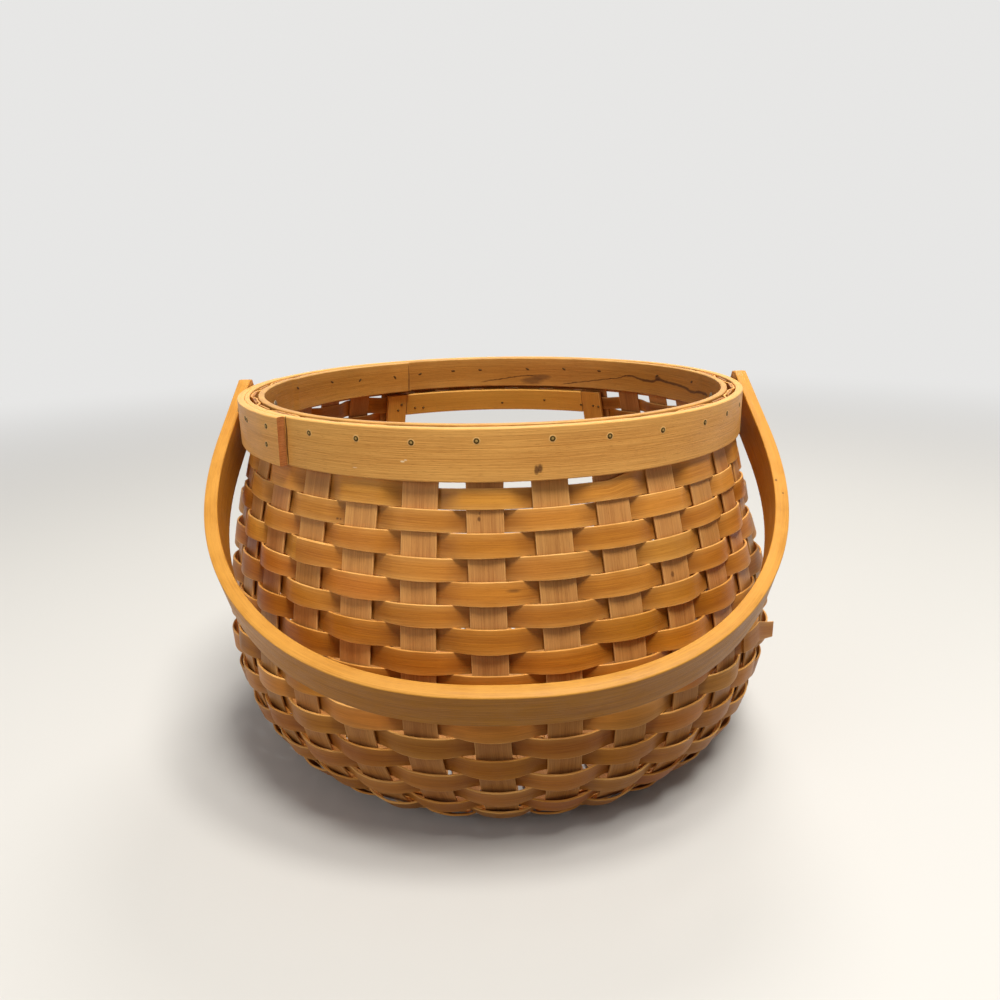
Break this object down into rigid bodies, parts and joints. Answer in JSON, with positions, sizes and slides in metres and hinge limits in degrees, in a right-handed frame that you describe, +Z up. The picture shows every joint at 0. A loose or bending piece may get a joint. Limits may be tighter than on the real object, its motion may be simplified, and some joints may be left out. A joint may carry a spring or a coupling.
{
  "type": "splint basket with swing handle",
  "caption": "Round-bellied basket woven of wide flat wood splints, with nailed bentwood rim hoops, a framed opening in the back wall and a bentwood handle that swings.",
  "frame": {"origin": "centre of the bounding box on the plane that the basket stands on; the basket's own vertical axis lies about 10 mm towards +Y of it, because the lowered handle reaches out to -Y", "axes": "+Z up; -Y is the front, where the handle lies; +Y is the back, where the opening is; +X is the right as the front is seen"},
  "size_m": [0.3438, 0.3616, 0.2238],
  "materials": {
    "weaver_wood": "honey brown varnished splint with long open grain",
    "stake_wood": "slightly paler, duller splint",
    "band_wood": "satin bent hoop with fine level grain",
    "frame_wood": "satin batten",
    "handle_wood": "varnished bentwood strip, brighter on its edges",
    "pin_metal": "dull darkened steel"
  },
  "bodies": {
    "basket": {"weaver_row_01": "weaver_wood", "weaver_row_02": "weaver_wood", "weaver_row_03": "weaver_wood", "weaver_row_04": "weaver_wood", "weaver_row_05": "weaver_wood", "weaver_row_06": "weaver_wood", "weaver_row_07": "weaver_wood", "weaver_row_08": "weaver_wood", "weaver_row_09": "weaver_wood", "weaver_row_10": "weaver_wood", "weaver_row_11": "weaver_wood", "weaver_row_12": "weaver_wood", "weaver_row_13": "weaver_wood", "weaver_row_14": "weaver_wood", "weaver_row_15": "weaver_wood", "weaver_row_16": "weaver_wood", "weaver_row_17": "weaver_wood", "weaver_row_18": "weaver_wood", "weaver_row_19": "weaver_wood", "weaver_row_20": "weaver_wood", "rim_weaver": "weaver_wood", "splint_front_1": "stake_wood", "splint_front_2": "stake_wood", "splint_front_3": "stake_wood", "splint_front_4": "stake_wood", "splint_front_5": "stake_wood", "splint_front_6": "stake_wood", "splint_front_7": "stake_wood", "splint_front_8": "stake_wood", "splint_side_1": "stake_wood", "splint_side_2": "stake_wood", "splint_side_3": "stake_wood", "splint_side_4": "stake_wood", "splint_side_5": "stake_wood", "splint_side_6": "stake_wood", "splint_side_7": "stake_wood", "splint_side_8": "stake_wood", "opening_stub_1": "stake_wood", "opening_stub_2": "stake_wood", "opening_stub_3": "stake_wood", "opening_stub_4": "stake_wood", "opening_stub_5": "stake_wood", "outer_rim_band": "band_wood", "inner_rim_band": "band_wood", "inner_post_left": "frame_wood", "inner_post_right": "frame_wood", "inner_head_rail": "frame_wood", "inner_sill_rail": "frame_wood", "outer_post_left": "frame_wood", "outer_post_right": "frame_wood", "outer_head_rail": "frame_wood", "outer_sill_rail": "frame_wood", "pivot_pin_left": "pin_metal", "pivot_pin_right": "pin_metal"},
    "handle": {"swing_handle": "handle_wood"}
  },
  "joints": [
    {"name": "handle_swing", "type": "hinge", "parent": "basket", "child": "handle", "pos_m": [-0.00175, 0.01028, 0.2075], "axis": [-1, 0, 0], "range_deg": [0, 243]}
  ]
}
